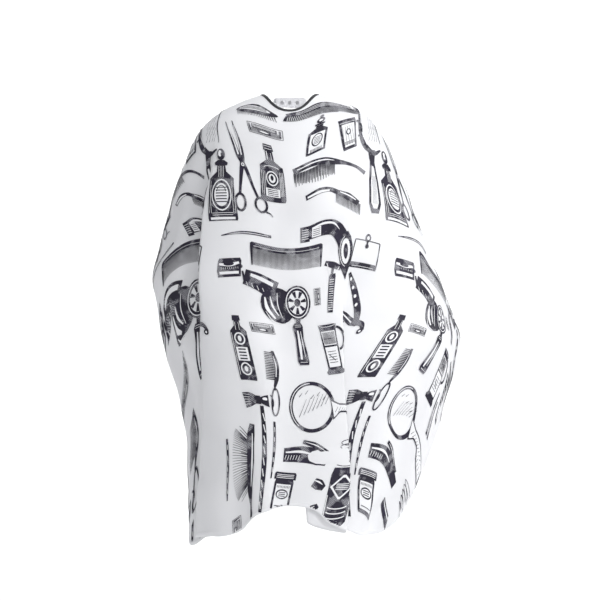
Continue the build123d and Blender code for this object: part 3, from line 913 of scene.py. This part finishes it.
def roundMirror():
    glints = [bar(-58 + k * 9, -26 + k * 6, -46 + k * 9, 16 + k * 4, 1.0, 0.4) for k in range(7)]
    glints += [bar(-62 + k * 13, 18 + (k % 2) * 8, -56 + k * 13, 28 + (k % 2) * 8, 1.4,
                   0.6) for k in range(5)]
    return [bow(-32, 0, 47, 52, 0, 360, 8), bow(-32, 0, 48, 53, 150, 262, 5),
            bow(-32, 0, 47, 52, 100, 240, 1.6, tone=0), *glints,
            ribbon([(12, 0), (30, 4), (54, 4), (76, -6), (94, -12)], [46, 20, 18, 36, 40]),
            ribbon([(14, 0), (30, 4), (54, 4), (76, -6), (91, -11)], [36, 13, 12, 29, 33], 0),
            *[bar(20 + k * 7, -6 + k * 0.6, 26 + k * 7, 7 - k * 0.4, 1.0, 0.5) for k in range(10)],
            *[bar(60 + k * 6, -18, 64 + k * 6, -6, 0.9, 0.5) for k in range(5)]]


def radialBrush():
    spokes = [bar(6 + 5 * np.cos(a), 40 * np.sin(a), -42 + 16 * (1 - np.cos(a)), 78 * np.sin(a), 1.5,
                  0.8) for a in np.radians(np.linspace(-75, 75, 34))]
    inner = [bar(2, 62 * t, -20, 84 * t, 1.8, 0.9) for t in np.linspace(-0.95, 0.95, 21)]
    return spokes + inner + [ribbon([(14, 84), (10, 62), (9, 0), (12, -62), (18, -90)], [12, 20, 22, 17, 6]),
                             ribbon([(14, 64), (14, 0), (15, -50)], [2, 5, 2], 0),
                             ribbon([(18, -86), (22, -116), (25, -136)], [6, 7, 11])]


def rod():
    return [ribbon([(-3, 120), (0, 60), (3, 0), (6, -118)], [8, 10, 12, 8]),
            *[bar(-2 + k * 0.5, 104 - k * 24, 2 + k * 0.5, 88 - k * 24, 2.2, tone=0) for k in range(9)]]


def thinRod():
    return [ribbon([(0, 62), (1, 0), (0, -62)], [5, 6, 3]), *[bar(0, 50 - k * 22, 1, 40 - k * 22, 1.4,
        tone=0) for k in range(5)]]


def combCase():
    return [ribbon([(-50, -4), (-10, -2), (30, -10), (48, -18)], [30, 36, 34, 22]),
            ribbon([(-46, 2), (-14, 4), (20, -4)], [3, 6, 2], 0),
            *[bar(-46 + k * 6, -14, -44 + k * 6, -4, 1.1, tone=0) for k in range(6)],
            ribbon([(-10, 26), (16, 18), (46, 0)], [8, 12, 10]),
            ribbon([(-4, 25), (18, 18), (40, 5)], [1, 2.4, 1], 0)]


def lidJar():
    return [solid([(-44, -20, 20), (-40, -22, 22), (22, -22, 22), (28, -20, 20)]),
            solid([(-36, -17, 17), (18, -17, 17)], 0),
            solid([(28, -25, 25), (40, -25, 25), (44, -22, 22)]), *rules(-20, 20, 32, 39, 3, 1.2, 0),
            blob(0, -4, 15, 11), blob(0, -4, 12, 8, 0),
            *rules(-8, 8, -8, 0, 3, 1.8), rules(-14, 14, -30, -26, 2, 1.4)[0],
            *hatch(-14, 14, 10, 15, 9, 1.0)]


def labelJar():
    return [*[bow(0, 94 - 9 * k, 24 + k * 1.2, 6, 0, 360, 1.6) for k in range(6)],
            solid([(-90, -22, 22), (-82, -30, 30), (24, -34, 34), (40, -30, 30)]),
            solid([(-30, -2, 2), (-2, -30, 30), (24, -3, 3)], 0),
            solid([(-24, -2, 2), (-2, -24, 24), (18, -3, 3)]), *rules(-15, 15, -8, 4, 4, 1.6, 0),
            bar(-28, -70, -31, -20, 3, 2, 0), bar(26, 20, 31, 34, 8, 3, 0),
            *[bow(0, -44 - 11 * k, 25, 7, 200, 340, 2.4, tone=0) for k in range(3)]]


def smallKnob():
    return [ribbon([(-10, 6), (2, 0), (14, -8)], [20, 24, 12]),
            ribbon([(-8, 10), (2, 6), (10, 0)], [2, 4, 1], 0)]


def stick():
    return [ribbon([(0, 56), (2, 30), (4, -10), (14, -56)], [8, 4, 4, 2.4]), blob(0, 54, 8, 11),
            blob(-2, 56, 2.5, 4, 0), bar(-7, 62, -9, 70, 3, 1)]


def pencilPair():
    return [bar(-6, -42, -4, 44, 8, 3), bar(6, -42, 4, 30, 7, 3), bar(-7, -36, -6, 10, 1.4, tone=0),
            bar(6, -36, 5, 6, 1.2, tone=0)]


def stripedCup():
    return [solid([(-44, -8, 8), (20, -14, 14), (44, -18, 18)]), *rules(-11, 11, -4, 36, 5, 2.6, 0),
            solid([(-38, -4, 4), (-10, -7, 7)], 0)]


# where each motif lies: millimetres right of the front's middle, millimetres down from the neck, turn, scale
printLook = {
    "repeat": 0.42, "ink": 0.0006, "layer": 0.0002, "clear": 2.5, "hole": 0.060, "droop": 0.62,
    "frontTurn": 108,
    "pieces": {
        "printBrushes": [(ovalBrush, -60, 34, 2, 1.0), (clothesBrush, 96, 189, -2, 1.0),
                         (neckBrush, 107, 257, -2, 1.0),
                         (loopedBrush, -67, 646, -4, 1.0), (shavingBrush, -107, 691, 5, 1.0),
                         (radialBrush, -132, 830, 2, 1.0)],
        "printCombs": [(dresserComb, 79, 34, -5, 1.0), (wideComb, -6, 370, 0, 1.0),
                       (thinFile, -97, 329, 2, 1.0),
                       (combCase, 6, 797, 0, 1.0), (rod, -90, 822, 2, 1.0), (thinRod, -68, 793, 2, 1.0),
                       (thinRod, -187, 837, 0, 1.0),
                       (stick, -178, 80, -8, 1.0), (pencilPair, 124, 628, 2, 1.0)],
        "printBlades": [(bladePacket, -43, 83, 0, 1.0), (scissors, -100, 178, 3, 1.0),
                        (safetyRazor, 96, 440, -6, 1.0),
                        (bladePacket, 62, 456, 90, 0.55), (straightRazor, 180, 491, 0, 1.0),
                        (bladePacket, -70, 531, 6, 0.78),
                        (bladePacket, -153, 968, -75, 0.85), (soapBox, -135, 405, 8, 1.0)],
        "printBottles": [(tallBottle, -39, 180, 4, 1.0), (stopperBottle, 52, 96, 4, 1.0),
                         (jug, 137, 112, 14, 1.0),
                         (decanter, -157, 232, 6, 1.0), (shavingMug, 79, 570, 2, 1.0),
                         (tonicBottle, -123, 581, 3, 1.0),
                         (stripedCup, 152, 575, 6, 1.0), (lidJar, -34, 883, -2, 1.0),
                         (labelJar, 100, 872, -4, 1.0),
                         (smallKnob, 42, 866, 0, 1.0), (smallKnob, 40, 920, 70, 0.8)],
        "printMirrors": [(archMirror, 209, 160, 0, 1.0), (squareFrame, 185, 385, -12, 1.0),
                         (roundMirror, 46, 700, -8, 1.0)],
        "printDryers": [(pipeDryer, 86, 350, 0, 1.0), (vintageDryer, -27, 505, 0, 1.0)],
    },
}

middleColumn = form["columns"] // 2
acrossRun = np.linalg.norm(np.diff(fineCape, axis=0), axis=2).cumsum(axis=0)
acrossRun = np.concatenate([np.zeros((1, form["steps"])), acrossRun])
frontRun = acrossRun - acrossRun[middleColumn]


# print places to grid places on the front: bisection finds the ray at which the way across is the wanted one,
# measured at the row that the drooping grain reaches there. The way across is the flat sheet's near the neck,
# where the cloth lies flat, and the arc length across the worn cape below it
def frontPlace(across, down):
    low, high = np.zeros_like(across), np.full_like(across, float(lastColumn))
    for _ in range(24):
        column = (low + high) / 2
        row, radius, turn = rowOf(column, down)
        share = ease(radius, 0.10, 0.32)
        run = readGrid(frontRun, column, np.clip(row, 0, lastRow))
        less = (1 - share) * radius * np.sin(np.clip(turn, -1.57, 1.57)) + share * run < across
        low, high = np.where(less, column, low), np.where(less, high, column)
    column = (low + high) / 2
    return column, rowOf(column, down)[0]


# the row, and flat distance from the hole's centre, where a ray meets the drooping grain
def rowOf(column, down):
    turn = np.radians(atColumn(column, turns))
    reach = atColumn(column, rayReach)
    radius = down + printLook["hole"]
    for _ in range(4):
        droop = 1 - (1 - printLook["droop"]) * ease(radius, 0.08, 0.30)
        radius = (down + printLook["hole"]) / np.cos(np.clip(droop * turn, -1.35, 1.35))
    return (radius - printLook["hole"]) / reach * lastRow, radius, turn


# print places to grid places on one half of the back, by the same bisection: across is measured along the
# cloth
# from the slit, and down from the neck along the ray
def backPlace(across, down, right):
    last = lastColumn
    run = acrossRun[-1:] - acrossRun[::-1] if right else acrossRun
    reach = rayReach[::-1] if right else rayReach
    low, high = np.zeros_like(across), np.full_like(across, float(last))
    for _ in range(22):
        column = (low + high) / 2
        row = down / atColumn(column, reach) * lastRow
        less = readGrid(run, column, np.clip(row, 0, lastRow)) < across
        low, high = np.where(less, column, low), np.where(less, high, column)
    return (last - column if right else column), row


# lays strokes on the cloth: their points go through the place function and up along the normal, each change
# of
# tone in a motif a little higher, and points beyond the sheet's edge or the zone's edge are marked as not
# good
def layStrokes(strokes, heads, place, zone):
    sizes = [g.shape[0] * g.shape[1] for g, _ in strokes]
    flat = np.concatenate([g.reshape(-1, 2) for g, _ in strokes])
    tones = np.array([tone for _, tone in strokes])
    switches = np.r_[0, np.cumsum(tones[1:] != tones[:-1])]
    layer = np.repeat(switches - switches[np.maximum.accumulate(np.where(heads, np.arange(len(heads)), 0))],
                      sizes)
    column, row = place(flat[:, 0], flat[:, 1])
    turn = atColumn(column, turns)
    good = (row > printLook["clear"]) & (row < form["steps"] - 1.6) & zone(turn)
    good &= (column > 1.5) & (column < form["columns"] - 2.5)
    row = np.clip(row, 0, lastRow)
    fromEdge = (lastRow - row) / lastRow * atColumn(column, rayReach)
    onHem = 1 - ease(fromEdge, hemLook["width"] * 0.85, hemLook["width"] * 1.2)
    lift = (printLook["ink"] + printLook["layer"] * layer + hemLook["turn"] * onHem)[:, None]
    normals = readGrid(fineNormals, column, row)
    points = readGrid(fineCape, column, row) + normals * lift
    start = np.r_[0, np.cumsum(sizes)[:-1]]
    return points, normals, start, good


def turned(grid, angle, scale):
    a = np.radians(angle)
    spin = np.array([[np.cos(a), -np.sin(a)], [np.sin(a), np.cos(a)]])
    return grid @ spin.T * scale / 1000


def makePrint():
    repeat = printLook["repeat"]
    bare, made = [], []
    for name, motifs in printLook["pieces"].items():
        ink = []
        for column in range(-3, 4):
            front, backs, frontHeads, backHeads = [], [], [], []
            for draw, x, y, angle, scale in motifs:
                for k, (grid, tone) in enumerate(draw()):
                    local = turned(grid, angle, scale)
                    frontHeads.append(k == 0)
                    front.append((np.stack([x / 1000 + column * repeat + local[..., 0],
                                            y / 1000 - local[..., 1]], -1), tone))
                    if -2 < column < 3 and 30 < y < 760:
                        backHeads.append(k == 0)
                        backs.append((np.stack([0.20 + x / 1000 + column * repeat - local[..., 0],
                                                y / 1000 + local[..., 1]], -1), tone))
            jobs = [(front, frontHeads, frontPlace, lambda turn: np.abs(turn) < printLook["frontTurn"])]
            if backs:
                jobs.append((backs, backHeads, lambda a, d: backPlace(a, d, False),
                             lambda turn: turn < -printLook["frontTurn"] - 3))
                jobs.append((backs, backHeads, lambda a, d: backPlace(a, d, True),
                             lambda turn: turn > printLook["frontTurn"] + 3))
            for strokes, heads, place, zone in jobs:
                points, normals, start, good = layStrokes(strokes, np.array(heads), place, zone)
                for (grid, tone), first in zip(strokes, start):
                    part = slice(first, first + grid.shape[0] * grid.shape[1])
                    if good[part].any():
                        (ink if tone > 0 else bare).append((points[part], normals[part], good[part],
                                                            grid.shape[:2]))
        made.append(strokeMesh(name, ink, looks["print_ink"]))
    made.append(strokeMesh("printBareLines", bare, looks["cape_cloth"]))
    return made


def strokeMesh(name, pieces, material):  # many small grids as one mesh: good faces only, turned outwards
    vertices = np.concatenate([points for points, _, _, _ in pieces])
    normals = np.concatenate([out for _, out, _, _ in pieces])
    good = np.concatenate([fine for _, _, fine, _ in pieces])
    faces, first = [], 0
    for _, _, _, (rows, columns) in pieces:
        faces.append(gridFaces(rows, columns, first=first))
        first += rows * columns
    faces = np.concatenate(faces)
    faces = faces[good[faces].all(axis=1)]
    used = np.unique(faces)
    renumber = np.zeros(len(vertices), int)
    renumber[used] = np.arange(len(used))
    vertices, normals, faces = vertices[used], normals[used], renumber[faces]
    corner = vertices[faces]
    facing = np.cross(corner[:, 2] - corner[:, 0], corner[:, 3] - corner[:, 1])
    inwards = (facing * normals[faces[:, 0]]).sum(1) < 0
    faces[inwards] = faces[inwards][:, ::-1]
    return addMesh(name, vertices, faces, material)


prints = makePrint()
print("print laid", [(p.name, len(p.data.polygons)) for p in prints])

# finishes of the carried-over CAD pieces
for node in ("snap_caps", "snap_sockets", "snap_studs", "stud_back_rings", "socket_springs"):
    carried = frame["nodes"][node]
    carried.data.materials.clear()
    carried.data.materials.append(looks["spring_steel" if node == "socket_springs" else "snap_metal"])

# bodies and replaced nodes
rootPieces = [(cape, "cape_cloth", ["cape_sheet"]), (hem, "cape_cloth", []),
              (hemStitches, "white_thread", ["hem_thread"]),
              (tape, "binding_tape", ["neck_binding"]), (tapeStitches, "black_thread", ["binding_thread"]),
              (label, "label_satin", ["care_label"])] + [(p, "cape_cloth", []) for p in prints]
for piece, slotName, stoodFor in rootPieces:
    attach(piece, "root")
    if stoodFor:
        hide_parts(*stoodFor)
for piece, stitches, body in ((leftTab, leftTabStitches, "left_tab"),
                              (rightTab, rightTabStitches, "right_tab")):
    for one, slotName in ((piece, "tab_cloth"), (stitches, "white_thread")):
        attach(one, body)
    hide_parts(body, body + "_interfacing")
    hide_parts(body + "_thread")

# floor, light and camera
stageLook = {"floor": -1.45, "wall": 4.5, "bend": 1.2, "colour": (0.93, 0.93, 0.93), "width": 16.0}


def backdrop():  # a pale floor that curves up into a wall behind the object
    bendAngle = np.linspace(0, np.pi / 2, 16)
    floorY = np.r_[-6.0, -3.0, 0.0,
                   stageLook["wall"] - stageLook["bend"] + stageLook["bend"] * np.sin(bendAngle),
                   stageLook["wall"]]
    floorZ = np.r_[0, 0, 0, stageLook["bend"] * (1 - np.cos(bendAngle)), 5.0] + stageLook["floor"]
    x = np.linspace(-stageLook["width"] / 2, stageLook["width"] / 2, 5)
    grid = np.stack([np.broadcast_to(x[:, None], (5, len(floorY))), np.broadcast_to(floorY, (5, len(floorY))),
                     np.broadcast_to(floorZ, (5, len(floorY)))], -1)
    material = bpy.data.materials.new("pale_floor")
    material.use_nodes = True
    shader = material.node_tree.nodes["Principled BSDF"]
    shader.inputs["Base Color"].default_value = (*stageLook["colour"], 1)
    shader.inputs["Roughness"].default_value = 0.9
    return addGrid("backdrop", grid, material)


backdrop()


def areaLight(name, at, aim, size, power):
    light = bpy.data.lights.new(name, "AREA")
    light.shape = "RECTANGLE"
    light.size, light.size_y = size
    light.energy = power
    holder = bpy.data.objects.new(name, light)
    holder.location = at
    holder.rotation_euler = (Vector(aim) - Vector(at)).to_track_quat("-Z", "Y").to_euler()
    scene.collection.objects.link(holder)


lightLook = {"key": ((2.6, -2.2, 1.5), (0, 0, -0.5), (1.2, 1.2), 98),
             "fill": ((-2.6, -2.6, 0.2), (0, 0, -0.5), (2.4, 2.4), 6),
             "top": ((0.3, 0.6, 2.3), (0, 0, -0.4), (2.0, 2.0), 14),
             "wall": ((0, 1.4, 1.6), (0, 4.5, -0.4), (3.0, 1.5), 110)}
for lightName, (at, aim, size, power) in lightLook.items():
    areaLight(lightName, at, aim, size, power)
world = bpy.data.worlds.new("studio")
world.use_nodes = True
world.node_tree.nodes["Background"].inputs["Color"].default_value = (0.97, 0.98, 1.0, 1)
world.node_tree.nodes["Background"].inputs["Strength"].default_value = 0.45
scene.world = world

cameraLook = {"at": (0.024, -3.2, -0.478), "width": 1.38, "sensor": 36}
camera = bpy.data.cameras.new("camera")
camera.sensor_width = cameraLook["sensor"]
camera.lens = cameraLook["sensor"] * (-cameraLook["at"][1] - 0.05) / cameraLook["width"]
cameraHolder = bpy.data.objects.new("camera", camera)
cameraHolder.location = cameraLook["at"]
cameraHolder.rotation_euler = (np.pi / 2, 0, 0)
scene.collection.objects.link(cameraHolder)
scene.camera = cameraHolder
scene.view_settings.view_transform = "Standard"
print("camera and lights set")
